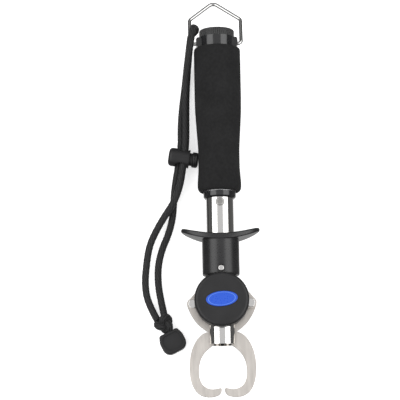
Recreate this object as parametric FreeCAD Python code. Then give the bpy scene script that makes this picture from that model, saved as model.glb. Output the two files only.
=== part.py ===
"""Lip grip: a fishing gripper with a sliding trigger, two hooked jaws and a spring scale.

The object lies on its back.  X runs across it, Y along it with the wire bail at +Y and the
jaws at -Y, and Z is up.  Parts are built about the long axis with y = 0 at the lower end of
the foam, then `write` moves them so that the origin is the middle of the underside.
All sizes are in millimetres.
"""
import FreeCAD, Part
import math
import os

from FreeCAD import Vector

# ---- fits ---------------------------------------------------------------------------------
running_fit = 0.05          # radial clearance of shafts, slides and pivots
side_gap = 0.15             # between flat faces that pass each other
body_gap = 0.3              # between pieces that only meet end to end
loose_pivot = 0.6           # radial play of the links on the trigger pin
slot_gap = 0.25             # from the links to the sides of the slots they swing in
cover_gap = 0.5             # from the rivets' heads to the guard discs
link_gap = 0.3              # from the links' edges to the trigger sleeve's sides

# ---- handle -------------------------------------------------------------------------------
foam_length = 103.1
foam_radius = 16.5
foam_waist_radius = 14.7
foam_mouth_radius = 15.45
foam_top_rounding = 0.8
foam_mouth_rounding = 3.0
handle_tube_radius = 11.25
handle_tube_wall = 0.9
lower_collar_length = 4.5
lower_collar_tip_radius = 10.15
lower_collar_spigot = 8.0
end_collar_radius = 12.3
end_collar_height = 7.7
end_collar_spigot = 8.0
collar_screw_radius = 1.25
collar_screw_inset = 1.6    # from the rod guide to the screws' axis
lug_reach = 14.6
lug_height = 6.9
lug_depth = 8.0
lug_rounding = 1.8

# ---- bail ---------------------------------------------------------------------------------
wire_radius = 1.25
bail_left_leg = 19.0        # the bail stands a little to the left of the axis
bail_right_leg = 17.2
bail_length = 38.0
bail_shoulder = 22.0
bail_apex_offset = -2.1
bail_corner_radius = 3.0
bail_foot_bend = 2.5
bail_apex_radius = 4.0
bail_foot_depth = 4.4
bail_pivot_setback = 3.8    # from the foam's end to the bail's pivot

# ---- zero knob and scale rod --------------------------------------------------------------
knob_radius = 12.3
knob_height = 5.4
knob_rounding = 1.0
knob_ribs = 60
knob_rib_depth = 0.35
knob_hub_radius = 5.0
knob_clip_radius = 7.0
clip_thickness = 0.8
clip_groove_depth = 0.8
clip_lip = 0.8              # of a hub beyond its clip
clip_room = 3.2             # height of the room under the collar
knob_crown = 1.2            # of the knob above its thread
rod_radius = 2.5
rod_flat_half_width = 1.95
rod_guide_radius = 8.0
rod_guide_thickness = 2.0
rod_lower_end = 2.0
rod_tail = 1.0              # of the rod below its nut
rod_nut_thickness = 3.2
rod_nut_across_flats = 8.0
rod_washer_gap = 1.3        # from the washer to the tube's bore
rod_washer_thickness = 1.6
zero_travel_up = 0.5

# ---- spring scale -------------------------------------------------------------------------
scale_spring_length = 40.0
scale_spring_radius = 5.6
scale_spring_wire = 0.8
scale_spring_turns = 8
seat_flange_thickness = 2.0
seat_hub_radius = 4.0

# ---- scale tube ---------------------------------------------------------------------------
tube_radius = 9.5
tube_wall = 1.2
tube_end = -105.9
plug_length = 6.0
plug_screw_radius = 1.25
stop_top = -4.0
stop_length = 8.5
stop_screw_y = -7.9
stop_screw_head_radius = 2.7
stop_screw_seat_gap = 0.45
stop_screw_sink = 0.5       # of the head's seat below the tube's surface
stop_screw_head_height = 1.4
stop_screw_shank_radius = 1.5
side_slot_top = -49.4

# ---- trigger ------------------------------------------------------------------------------
trigger_travel = 9.8
flange_top = -30.1
flange_thickness = 4.2
flange_tip_thickness = 3.0
flange_half_width = 27.2
flange_half_depth = 13.4
flange_rise = 5.5
flange_edge_rounding = 1.2
sleeve_radius = 12.8
sleeve_skirt = 1.3          # by which front and back reach below the sides
sleeve_skirt_gap = 0.4      # from the skirts to the guard discs
sleeve_rounding = 2.6
pin_y = -54.3
pin_radius = 2.0
pin_dish_radius = 2.6
pin_dish_depth = 1.0
slider_top = -43.3
slider_bottom = -58.2
trigger_spring_radius = 5.4
trigger_spring_wire = 0.5
trigger_spring_turns = 9

# ---- jaws and links -----------------------------------------------------------------------
jaw_pivot_x = 4.3
jaw_pivot_y = -90.0
jaw_pin_radius = 1.75
jaw_hub_radius = 4.1
jaw_thickness = 4.0
jaw_half_width = 22.8
jaw_reach = 51.7
hinge_x = 19.9
hinge_y = -77.7
hinge_radius = 4.0
rivet_radius = 2.0
rivet_head_radius = 3.1
rivet_head_height = 1.0
link_thickness = 2.0
pivot_block_top = -84.0
pivot_block_bottom = -96.0

# ---- guard discs --------------------------------------------------------------------------
guard_radius = 18.7
guard_y = -76.2
guard_rounding = 2.6
badge_half_length = 11.0
badge_half_height = 5.25
badge_thickness = 0.9
badge_pocket_depth = 0.5
badge_tilt = 4.6
cover_screw_x = 5.5
cover_screw_radius = 1.5
cover_screw_head_radius = 2.6
cover_screw_head_height = 1.8
cover_screw_grip = 1.0      # from the screws' tips to the tube's side slots
cover_screw_sink = 0.6

# ---- lanyard ------------------------------------------------------------------------------
cord_radius = 2.5
hitch_distance = 12.7       # along the bail's leg from its pivot
lock_centre = Vector(-26.8, 27.2, 6.5)
lock_tilt = 9.5
lock_radius = 6.5
lock_left_end = 8.5
lock_right_end = 6.2
lock_rounding = 2.6
lock_hole_offset = 0.9
lock_hole_radius = 5.15
lock_spigot_radius = 4.5
lock_spigot_length = 3.0
lock_bore_radius = 2.9
lock_bore_depth = 2.2
button_radius = 5.4
button_wall = 0.85
button_end = 12.6
button_cap = 1.3
button_rounding = 1.8
button_travel = 1.9
lock_spring_wire = 0.35
lock_spring_turns = 3
knot_centre = Vector(-39.8, -89.5, 5.4)
knot_radius = 6.2
knot_half_height = 5.3
cord_end_centre = Vector(-34.1, -102.1, 0)
cord_end_turn = 26.8
cord_end_length = 15.0
cord_end_width = 17.2
cord_end_top_width = 13.6
cord_end_thickness = 8.6
cord_end_rim = 1.7
cord_end_recess = 1.0
cord_end_rounding = 1.2
cord_end_corners = [2.0, 3.0, 5.5, 5.5, 3.0, 2.0]

# Hand-laid routes of the two strands, in the finished frame, from the hitch to the knot.
upper_strand = [
    Vector(-18.0, 117.8, 17.7), Vector(-18.8, 106.6, 20.9), Vector(-20.2, 94.4, 19.2),
    Vector(-21.5, 82.2, 12.6), Vector(-22.4, 68.7, 8.4), Vector(-22.6, 52.3, 7.2),
    Vector(-22.9, 35.7, 8.4), Vector(-25.5, 18.6, 8.3), Vector(-27.4, 7.4, 8.0),
    Vector(-31.7, -4.5, 8.2), Vector(-38.1, -13.5, 7.0), Vector(-44.7, -23.8, 3.6),
    Vector(-49.7, -34.4, 2.6), Vector(-51.9, -47.9, 2.7), Vector(-53.1, -61.9, 2.6),
    Vector(-50.9, -75.0, 2.7), Vector(-45.2, -86.4, 4.6),
]
lower_strand = [
    Vector(-18.5, 114.0, 8.4), Vector(-19.8, 103.9, 9.2), Vector(-21.5, 91.9, 5.4),
    Vector(-23.1, 78.6, 2.7), Vector(-25.3, 63.1, 2.6), Vector(-26.4, 48.6, 2.9),
    Vector(-26.3, 35.6, 4.5), Vector(-28.9, 19.5, 4.4), Vector(-31.2, 7.7, 2.8),
    Vector(-32.2, -3.7, 2.6), Vector(-33.0, -14.9, 2.6), Vector(-36.1, -26.4, 2.6),
    Vector(-40.9, -37.0, 2.6), Vector(-43.8, -49.0, 2.7), Vector(-43.8, -62.1, 2.6),
    Vector(-41.8, -74.2, 2.8), Vector(-39.5, -84.9, 4.8),
]

# Foam outline between its mouth and its straight part, as shares of its length and of the
# difference between its waist and its full radius.
foam_straight_from = 0.57
foam_shoulder = (0.43, 0.45)
foam_waist_spans = (0.16, 0.30)
foam_mouth_at = 0.055
foam_mouth_taper = 0.1

# Jaw outline from its pivot, as shares of the jaw's half width and of its reach.
jaw_outer_edge = [
    (0.413, 0.138), (0.640, 0.182), (0.799, 0.263), (0.921, 0.377), (0.994, 0.542),
    (0.998, 0.653), (0.956, 0.790), (0.838, 0.906), (0.669, 0.974), (0.459, 1.000),
    (0.223, 0.991),
]
jaw_tip = [(0.085, 0.955), (0.042, 0.893), (0.074, 0.881)]
jaw_inner_edge = [
    (0.219, 0.892), (0.429, 0.888), (0.585, 0.847), (0.688, 0.767), (0.716, 0.675),
    (0.703, 0.585), (0.623, 0.469), (0.461, 0.377), (0.276, 0.314),
]
jaw_wing_edge = [(0.867, -0.079), (0.669, 0.055), (0.413, 0.138)]

# ---- places worked out from the sizes above -----------------------------------------------
handle_tube_bore = handle_tube_radius - handle_tube_wall
tube_bore = tube_radius - tube_wall
collar_top = foam_length + end_collar_height
knob_top = collar_top + knob_height
spigot_end = foam_length - end_collar_spigot
bail_pivot_y = foam_length + bail_pivot_setback
washer_top = rod_lower_end + rod_tail + rod_nut_thickness + rod_washer_thickness
seat_bottom = washer_top + scale_spring_length
plug_bottom = seat_bottom + seat_flange_thickness
tube_top = plug_bottom + plug_length
stop_bottom = stop_top - stop_length
rod_washer_radius = tube_bore - rod_washer_gap
stop_screw_head_seat = tube_radius - stop_screw_sink
link_face = jaw_thickness / 2 + side_gap
side_slot_half_depth = link_face + link_thickness + slot_gap
slider_web_half = jaw_thickness / 2
rivet_front = link_face + link_thickness + side_gap
guard_inner_face = rivet_front + rivet_head_height + cover_gap
sleeve_side_half_depth = guard_inner_face + side_gap
link_slope = (pin_y - hinge_y) / hinge_x
link_edge_rise = hinge_radius * math.sqrt(1 + link_slope ** 2)
sleeve_wall_x = math.sqrt((tube_radius + running_fit) ** 2 - (link_face + link_thickness) ** 2)
sleeve_bottom = pin_y - link_slope * sleeve_wall_x + link_edge_rise + link_gap
cover_screw_tip = side_slot_half_depth + cover_screw_grip
axis_height = foam_radius
jaw_bottom_y = jaw_pivot_y - jaw_reach
x_axis = Vector(1, 0, 0)
y_axis = Vector(0, 1, 0)
z_axis = Vector(0, 0, 1)


# ---- small helpers ------------------------------------------------------------------------
def along_y(radius, low, high, x=0.0, z=0.0):
    """Cylinder along the long axis."""
    return Part.makeCylinder(radius, high - low, Vector(x, low, z), y_axis)


def along_z(radius, low, high, x=0.0, y=0.0):
    """Cylinder along Z."""
    return Part.makeCylinder(radius, high - low, Vector(x, y, low), z_axis)


def along_x(radius, low, high, y=0.0, z=0.0):
    """Cylinder along X."""
    return Part.makeCylinder(radius, high - low, Vector(low, y, z), x_axis)


def ring(outer, inner, low, high):
    """Plain ring about the long axis."""
    return along_y(outer, low, high).cut(along_y(inner, low - 1, high + 1))


def block(x0, x1, y0, y1, z0, z1):
    """Box between two corners."""
    return Part.makeBox(x1 - x0, y1 - y0, z1 - z0, Vector(x0, y0, z0))


def turned(edges):
    """Solid of revolution about the long axis from edges in the XY half plane."""
    return Part.Face(Part.Wire(edges)).revolve(Vector(0, 0, 0), y_axis, 360)


def line(start, end):
    """Straight edge."""
    return Part.LineSegment(start, end).toShape()


def arc(start, middle, end):
    """Arc edge through three points."""
    return Part.Arc(start, middle, end).toShape()


def spline(points):
    """Smooth edge through points."""
    curve = Part.BSplineCurve()
    curve.interpolate(points)
    return curve.toShape()


def mirrored(shape):
    """Mirror image across the YZ plane."""
    return shape.mirror(Vector(0, 0, 0), x_axis)


def flipped(shape):
    """The same piece turned half a turn about the long axis."""
    turned_shape = shape.copy()
    turned_shape.rotate(Vector(0, 0, 0), y_axis, 180)
    return turned_shape


def polar(centre, radius, degrees):
    """Point at an angle and a distance from a centre, in the XY plane."""
    angle = math.radians(degrees)
    return centre + Vector(radius * math.cos(angle), radius * math.sin(angle), 0)


def rounded_path(points, radii):
    """Wire of straight runs joined by tangent arcs, one radius for each inner point."""
    edges = []
    start = points[0]
    for before, corner, after, radius in zip(points, points[1:], points[2:], radii):
        back = (before - corner).normalize()
        ahead = (after - corner).normalize()
        half_turn = (math.pi - back.getAngle(ahead)) / 2
        setback = radius * math.tan(half_turn)
        middle = (back + ahead).normalize() * (radius / math.cos(half_turn) - radius)
        arc_start = corner + back * setback
        arc_end = corner + ahead * setback
        edges.append(line(start, arc_start))
        edges.append(arc(arc_start, corner + middle, arc_end))
        start = arc_end
    edges.append(line(start, points[-1]))
    return Part.Wire(edges)


def swept_rod(path, radius):
    """Round rod along a wire."""
    first = path.OrderedEdges[0]
    start = first.valueAt(first.FirstParameter)
    heading = first.tangentAt(first.FirstParameter)
    profile = Part.Wire(Part.makeCircle(radius, start, heading))
    return path.makePipe(Part.Face(profile))


def coil(mean_radius, wire, turns, low, high):
    """Open coil spring about the long axis, between two faces."""
    length = high - low - 2 * wire - 2 * side_gap
    helix = Part.makeHelix(length / turns, length, mean_radius)
    profile = Part.Wire(Part.makeCircle(wire, Vector(mean_radius, 0, 0), y_axis))
    spring = Part.Wire(helix.Edges).makePipeShell([profile], True, True)
    spring.rotate(Vector(0, 0, 0), x_axis, -90)
    spring.translate(Vector(0, low + wire + side_gap, 0))
    return spring


def cross_recess(centre, outward, size):
    """Crossed slots for a screwdriver, sunk into a face at `centre`."""
    turn = FreeCAD.Rotation(z_axis, outward)
    slots = []
    for half_x, half_y in ((size, size * 0.22), (size * 0.22, size)):
        slot = block(-half_x, half_x, -half_y, half_y, -size * 0.55, 1.0)
        slot.Placement = FreeCAD.Placement(centre, turn)
        slots.append(slot)
    return slots[0].fuse(slots[1])


# ---- handle -------------------------------------------------------------------------------
def make_handle_tube():
    """Tube under the foam, with two holes for the collar screws."""
    tube = ring(handle_tube_radius, handle_tube_bore, 0, foam_length)
    return tube.cut(collar_screw_bores())


def collar_screw_bores():
    """Cross hole for the two screws that hold the end collar."""
    y = spigot_end + rod_guide_thickness + collar_screw_inset
    reach = handle_tube_radius + 1
    return along_z(collar_screw_radius, -reach, reach, 0, y)


def make_collar_screws():
    """Two headless screws, one from each side, hidden under the foam."""
    y = spigot_end + rod_guide_thickness + collar_screw_inset
    inner = rod_guide_radius + 0.3
    screw = along_z(collar_screw_radius, inner, handle_tube_radius - 0.3, 0, y)
    return Part.makeCompound([screw, flipped(screw)])


def make_foam_grip():
    """Foam sleeve with a slight waist near its mouth."""
    inner = handle_tube_radius
    top = foam_length
    shoulder = foam_radius - foam_top_rounding
    mouth = foam_mouth_radius - foam_mouth_taper
    lip = mouth - foam_mouth_rounding
    swell = foam_radius - foam_waist_radius
    outline = [
        line(Vector(inner, 0, 0), Vector(inner, top, 0)),
        line(Vector(inner, top, 0), Vector(shoulder, top, 0)),
        arc(Vector(shoulder, top, 0),
            polar(Vector(shoulder, top - foam_top_rounding, 0), foam_top_rounding, 45),
            Vector(foam_radius, top - foam_top_rounding, 0)),
        line(Vector(foam_radius, top - foam_top_rounding, 0),
             Vector(foam_radius, top * foam_straight_from, 0)),
        spline([
            Vector(foam_radius, top * foam_straight_from, 0),
            Vector(foam_waist_radius + swell * foam_shoulder[1], top * foam_shoulder[0], 0),
            Vector(foam_waist_radius, top * foam_waist_spans[1], 0),
            Vector(foam_waist_radius, top * foam_waist_spans[0], 0),
            Vector(foam_mouth_radius, top * foam_mouth_at, 0),
            Vector(mouth, foam_mouth_rounding, 0),
        ]),
        arc(Vector(mouth, foam_mouth_rounding, 0),
            polar(Vector(lip, foam_mouth_rounding, 0), foam_mouth_rounding, -45),
            Vector(lip, 0, 0)),
        line(Vector(lip, 0, 0), Vector(inner, 0, 0)),
    ]
    return turned(outline)


def make_lower_collar():
    """Black bush at the handle's mouth that guides the scale tube."""
    bore = tube_radius + running_fit
    chamfer = handle_tube_radius - lower_collar_tip_radius
    body = along_y(handle_tube_radius, -lower_collar_length, 0)
    rim = [edge for edge in body.Edges if abs(edge.BoundBox.YMax + lower_collar_length) < 0.01]
    body = body.makeChamfer(chamfer, rim)
    body = body.fuse(along_y(handle_tube_bore, 0, lower_collar_spigot))
    return body.cut(along_y(bore, -lower_collar_length - 1, lower_collar_spigot + 1))


def make_end_collar():
    """Collar in the handle's top, with a lug on each side for the bail."""
    lug = block(0, lug_reach, collar_top - lug_height, collar_top, -lug_depth / 2, lug_depth / 2)
    corners = [edge for edge in lug.Edges
               if abs(edge.BoundBox.XMin - lug_reach) < 0.01 and edge.BoundBox.YLength < 0.01
               and edge.BoundBox.ZLength > 1]
    lug = lug.makeFillet(lug_rounding, corners)
    body = along_y(end_collar_radius, foam_length, collar_top)
    body = body.fuse([lug, mirrored(lug), along_y(handle_tube_bore, spigot_end, foam_length)])
    hub_bore = along_y(knob_hub_radius + running_fit, spigot_end - 1, collar_top + 1)
    recess = along_y(rod_guide_radius, spigot_end - 1, clip_room_top())
    foot_bores = [
        along_x(wire_radius + running_fit, lug_reach - bail_foot_depth - side_gap,
                lug_reach + 1, bail_pivot_y, 0),
        along_x(wire_radius + running_fit, -lug_reach - 1,
                -lug_reach + bail_foot_depth + side_gap, bail_pivot_y, 0),
    ]
    return body.cut([hub_bore, recess, collar_screw_bores()] + foot_bores)


def clip_room_top():
    """Ceiling of the room under the collar where the knob's clip turns."""
    return spigot_end + rod_guide_thickness + clip_room


def clip_low():
    """Lower face of the knob's clip."""
    return clip_room_top() - side_gap - clip_thickness


def make_rod_guide():
    """Disc with a double-D hole that keeps the scale rod from turning."""
    disc = along_y(rod_guide_radius, spigot_end, spigot_end + rod_guide_thickness)
    hole = along_y(rod_radius + running_fit, spigot_end - 1, spigot_end + rod_guide_thickness + 1)
    flats = block(-rod_flat_half_width - running_fit, rod_flat_half_width + running_fit,
                  spigot_end - 1, spigot_end + rod_guide_thickness + 1, -5, 5)
    return disc.cut(hole.common(flats))


# ---- bail ---------------------------------------------------------------------------------
def bail_path():
    """Centre line of the bent wire in its own plane, with the pivot on X."""
    foot = lug_reach - bail_foot_depth
    points = [
        Vector(foot, 0, 0), Vector(bail_right_leg, 0, 0),
        Vector(bail_right_leg, bail_shoulder, 0), Vector(bail_apex_offset, bail_length, 0),
        Vector(-bail_left_leg, bail_shoulder, 0),
        Vector(-bail_left_leg, 0, 0), Vector(-foot, 0, 0),
    ]
    radii = [bail_foot_bend, bail_corner_radius, bail_apex_radius, bail_corner_radius,
             bail_foot_bend]
    return rounded_path(points, radii)


def bail_peak():
    """Distance from the pivot to the farthest point of the wire's centre line."""
    return max(edge.valueAt(edge.FirstParameter + share * (edge.LastParameter
                                                           - edge.FirstParameter)).y
               for edge in bail_path().Edges for share in (0, 0.25, 0.5, 0.75, 1))


def bail_droop():
    """Angle by which the bail hangs below the axis so that its peak meets the table."""
    return math.degrees(math.asin((axis_height - wire_radius) / bail_peak()))


def make_wire_bail():
    """House-shaped wire bail, drooping until its peak rests on the table."""
    bail = swept_rod(bail_path(), wire_radius)
    bail.rotate(Vector(0, 0, 0), x_axis, -bail_droop())
    bail.translate(Vector(0, bail_pivot_y, 0))
    return bail


def make_lanyard_hitch():
    """Turn of cord round the bail's left leg."""
    clear = cord_radius + wire_radius + side_gap
    hitch = Part.makeTorus(clear, cord_radius - 0.05, Vector(-bail_left_leg, hitch_distance, 0),
                           y_axis)
    hitch.rotate(Vector(0, 0, 0), x_axis, -bail_droop())
    hitch.translate(Vector(0, bail_pivot_y, 0))
    return hitch


# ---- zero knob and scale rod --------------------------------------------------------------
def make_zero_knob():
    """Ribbed end knob whose threaded hub draws the scale rod in or out."""
    hub_low = clip_low() - clip_lip
    cap = along_y(knob_radius, collar_top + side_gap / 3, knob_top)
    rims = [edge for edge in cap.Edges if abs(edge.BoundBox.YMin - knob_top) < 0.01]
    cap = cap.makeFillet(knob_rounding, rims)
    groove_radius = 2 * knob_rib_depth
    grooves = []
    for index in range(knob_ribs):
        centre = polar(Vector(0, 0, 0), knob_radius + knob_rib_depth, index * 360 / knob_ribs)
        grooves.append(along_y(groove_radius, collar_top - 1, knob_top + 1, centre.x, centre.y))
    cap = cap.cut(Part.makeCompound(grooves))
    hub = along_y(knob_hub_radius, hub_low, collar_top + 1)
    clip_groove = ring(knob_hub_radius + 1, knob_hub_radius - clip_groove_depth,
                       clip_low(), clip_low() + clip_thickness)
    thread = along_y(rod_radius + running_fit, hub_low - 1, knob_top - knob_crown)
    return cap.fuse(hub).cut([clip_groove, thread])


def make_knob_clip():
    """Split clip that keeps the knob's hub in the collar."""
    clip = ring(knob_clip_radius, knob_hub_radius - clip_groove_depth,
                clip_low(), clip_low() + clip_thickness)
    mouth = block(-1.5, 1.5, clip_low() - 1, clip_low() + clip_thickness + 1,
                  0, knob_clip_radius + 1)
    return clip.cut(mouth)


def make_scale_rod():
    """Pull rod of the scale, flattened on two sides where the guide holds it."""
    top = knob_top - knob_crown - zero_travel_up - body_gap
    rod = along_y(rod_radius, rod_lower_end, top)
    flats_low = spigot_end - zero_travel_up - 3.0
    for sign in (-1, 1):
        face = sign * rod_flat_half_width
        far = sign * (rod_radius + 1)
        rod = rod.cut(block(min(face, far), max(face, far), flats_low, top + 1, -5, 5))
    return rod


def make_rod_nut():
    """Hexagon nut at the rod's lower end."""
    low = rod_lower_end + rod_tail
    corner = rod_nut_across_flats / math.sqrt(3)
    points = [Vector(corner * math.cos(math.radians(60 * i)), low,
                     corner * math.sin(math.radians(60 * i))) for i in range(7)]
    nut = Part.Face(Part.makePolygon(points)).extrude(Vector(0, rod_nut_thickness, 0))
    return nut.cut(along_y(rod_radius, low - 1, low + rod_nut_thickness + 1))


def make_rod_washer():
    """Washer that the scale spring stands on."""
    return ring(rod_washer_radius, rod_radius, washer_top - rod_washer_thickness, washer_top)


def make_spring_seat():
    """Flanged bush that slides on the rod and carries the swivelling tube."""
    flange = along_y(tube_bore - body_gap, seat_bottom, plug_bottom - side_gap / 3)
    hub_top = tube_top + side_gap + clip_thickness + clip_lip
    hub = along_y(seat_hub_radius, seat_bottom, hub_top)
    groove = ring(seat_hub_radius + 1, seat_hub_radius - 0.5, tube_top + side_gap,
                  tube_top + side_gap + clip_thickness)
    bore = along_y(rod_radius + running_fit, seat_bottom - 1, hub_top + 1)
    return flange.fuse(hub).cut([groove, bore])


def make_seat_clip():
    """Split clip above the tube's plug."""
    low = tube_top + side_gap
    clip = ring(seat_hub_radius + 1.6, seat_hub_radius - 0.5, low, low + clip_thickness)
    return clip.cut(block(-1.2, 1.2, low - 1, low + clip_thickness + 1, 0, seat_hub_radius + 3))


# ---- scale tube and what is fixed to it ---------------------------------------------------
def plug_screw_bores():
    """Cross hole for the two screws that hold the plug in the tube."""
    y = plug_bottom + plug_length / 2
    return along_x(plug_screw_radius, -tube_radius - 1, tube_radius + 1, y, 0)


def cover_screw_places():
    """Places of the two screws through each guard disc."""
    return [(-cover_screw_x, guard_y), (cover_screw_x, guard_y)]


def pin_slot():
    """Slot through the tube's front and back in which the trigger pin travels."""
    half = pin_radius + side_gap
    high = pin_y + trigger_travel + side_gap
    reach = tube_radius + 1
    slot = block(-half, half, pin_y - side_gap, high, -reach, reach)
    return slot.fuse([along_z(half, -reach, reach, 0, pin_y - side_gap),
                      along_z(half, -reach, reach, 0, high)])


def make_scale_tube():
    """Polished tube that slides out of the handle, slotted for the jaws and the trigger."""
    tube = ring(tube_radius, tube_bore, tube_end, tube_top)
    reach = tube_radius + 1
    side_slot = block(-reach, reach, tube_end - 1, side_slot_top,
                      -side_slot_half_depth, side_slot_half_depth)
    screw_hole = along_z(stop_screw_shank_radius, 0, reach, 0, stop_screw_y)
    screw_seat = along_z(stop_screw_head_radius + stop_screw_seat_gap, stop_screw_head_seat, reach,
                         0, stop_screw_y)
    cuts = [side_slot, screw_hole, screw_seat, plug_screw_bores(), pin_slot()]
    for sign in (-1, 1):
        cuts.append(along_z(jaw_pin_radius, -reach, reach, sign * jaw_pivot_x, jaw_pivot_y))
    for x, y in cover_screw_places():
        cuts.append(along_z(cover_screw_radius, -reach, reach, x, y))
    return tube.cut(cuts)


def make_tube_plug():
    """Plug in the tube's top that turns on the spring seat."""
    plug = ring(tube_bore, seat_hub_radius + running_fit, plug_bottom, tube_top)
    return plug.cut(plug_screw_bores())


def make_plug_screws():
    """Two headless screws through the tube into its plug."""
    y = plug_bottom + plug_length / 2
    screw = along_x(plug_screw_radius, seat_hub_radius + 0.6, tube_radius - 0.3, y, 0)
    return Part.makeCompound([screw, mirrored(screw)])


def make_spring_stop():
    """Disc fixed in the tube that the trigger spring pushes against."""
    stop = along_y(tube_bore, stop_bottom, stop_top)
    return stop.cut(along_z(stop_screw_shank_radius, 0, tube_radius, 0, stop_screw_y))


def make_stop_screw():
    """Round-headed screw that shows on the front of the tube."""
    top = stop_screw_head_seat + stop_screw_head_height
    head = along_z(stop_screw_head_radius, stop_screw_head_seat, top, 0, stop_screw_y)
    rim = [edge for edge in head.Edges if abs(edge.BoundBox.ZMin - top) < 0.01]
    head = head.makeFillet(0.6, rim)
    shank = along_z(stop_screw_shank_radius, body_gap, stop_screw_head_seat, 0, stop_screw_y)
    recess = cross_recess(Vector(0, stop_screw_y, top), z_axis, 1.4)
    return head.fuse(shank).cut(recess)


def make_pivot_blocks():
    """Two spacers between the jaws and the tube's inner wall."""
    core = along_y(tube_bore, pivot_block_bottom, pivot_block_top)
    blocks = []
    for sign in (-1, 1):
        near = sign * (jaw_thickness / 2 + side_gap)
        far = sign * tube_radius
        keep = block(-tube_radius, tube_radius, pivot_block_bottom, pivot_block_top,
                     min(near, far), max(near, far))
        piece = core.common(keep)
        for side in (-1, 1):
            piece = piece.cut(along_z(jaw_pin_radius, -tube_radius, tube_radius,
                                      side * jaw_pivot_x, jaw_pivot_y))
        blocks.append(piece)
    return Part.makeCompound(blocks)


def jaw_pin_end():
    """How far a jaw pin reaches from the middle plane."""
    return math.sqrt(tube_radius ** 2 - jaw_pivot_x ** 2)


def make_jaw_pins():
    """The two pins that the jaws turn on."""
    end = jaw_pin_end()
    return Part.makeCompound([
        along_z(jaw_pin_radius, -end, end, sign * jaw_pivot_x, jaw_pivot_y) for sign in (-1, 1)])


def badge_outline(grow):
    """Tilted ellipse of the badge, enlarged by `grow`."""
    ellipse = Part.Ellipse(Vector(0, 0, 0), badge_half_length + grow, badge_half_height + grow)
    wire = Part.Wire(ellipse.toShape())
    wire.rotate(Vector(0, 0, 0), z_axis, badge_tilt)
    wire.translate(Vector(0, guard_y, 0))
    return wire


def make_guard(with_badge_pocket):
    """Thick round cover that hides the linkage and saddles the tube."""
    outer = axis_height
    disc = along_z(guard_radius, guard_inner_face, outer, 0, guard_y)
    rim = [edge for edge in disc.Edges if abs(edge.BoundBox.ZMin - outer) < 0.01]
    disc = disc.makeFillet(guard_rounding, rim)
    cuts = [along_y(tube_radius, guard_y - guard_radius - 1, guard_y + guard_radius + 1)]
    for sign in (-1, 1):
        cuts.append(along_z(jaw_pin_radius + side_gap, 0, jaw_pin_end() + side_gap,
                            sign * jaw_pivot_x, jaw_pivot_y))
    head_top = outer - cover_screw_sink
    for x, y in cover_screw_places():
        cuts.append(along_z(cover_screw_radius, 0, outer + 1, x, y))
        cuts.append(along_z(cover_screw_head_radius, head_top - cover_screw_head_height,
                            outer + 1, x, y))
    if with_badge_pocket:
        pocket = Part.Face(badge_outline(side_gap)).extrude(Vector(0, 0, badge_pocket_depth + 1))
        pocket.translate(Vector(0, 0, outer - badge_pocket_depth))
        cuts.append(pocket)
    return disc.cut(cuts)


def make_badge():
    """Plain oval badge with a softened edge."""
    badge = Part.Face(badge_outline(0)).extrude(Vector(0, 0, badge_thickness))
    rim = [edge for edge in badge.Edges if abs(edge.BoundBox.ZMin - badge_thickness) < 0.01]
    badge = badge.makeFillet(0.35, rim)
    badge.translate(Vector(0, 0, axis_height - badge_pocket_depth))
    return badge


def make_cover_screws():
    """Four screws, two into the tube from each side."""
    top = axis_height - cover_screw_sink
    screws = []
    for x, y in cover_screw_places():
        screw = along_z(cover_screw_head_radius, top - cover_screw_head_height, top, x, y)
        screw = screw.fuse(along_z(cover_screw_radius, cover_screw_tip,
                                   top - cover_screw_head_height, x, y))
        screw = screw.cut(cross_recess(Vector(x, y, top), z_axis, 1.5))
        screws += [screw, flipped(screw)]
    return Part.makeCompound(screws)


# ---- trigger ------------------------------------------------------------------------------
def flange_plate():
    """Curved finger plate, oval from above, whose tips sweep up towards the handle."""
    half = flange_half_width + 4
    growth = (half / flange_half_width) ** 2
    tip_top = flange_top + flange_rise * growth
    low = flange_top - flange_thickness
    low_rise = flange_rise + flange_thickness - flange_tip_thickness
    tip_low = low + low_rise * growth
    outline = Part.Wire([
        arc(Vector(-half, tip_top, 0), Vector(0, flange_top, 0), Vector(half, tip_top, 0)),
        line(Vector(half, tip_top, 0), Vector(half, tip_low, 0)),
        arc(Vector(half, tip_low, 0), Vector(0, low, 0), Vector(-half, tip_low, 0)),
        line(Vector(-half, tip_low, 0), Vector(-half, tip_top, 0)),
    ])
    plate = Part.Face(outline).extrude(Vector(0, 0, 2 * flange_half_depth + 2))
    plate.translate(Vector(0, 0, -flange_half_depth - 1))
    oval = Part.Wire(Part.Ellipse(Vector(0, 0, 0), flange_half_width, flange_half_depth).toShape())
    oval.rotate(Vector(0, 0, 0), x_axis, 90)
    oval.translate(Vector(0, tip_top + 1, 0))
    column = Part.Face(oval).extrude(Vector(0, low - tip_top - 2, 0))
    plate = plate.common(column).Solids[0]
    edges = [edge for edge in plate.Edges if edge.BoundBox.XLength > flange_half_width / 2]
    return plate.makeFillet(flange_edge_rounding, edges)


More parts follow.
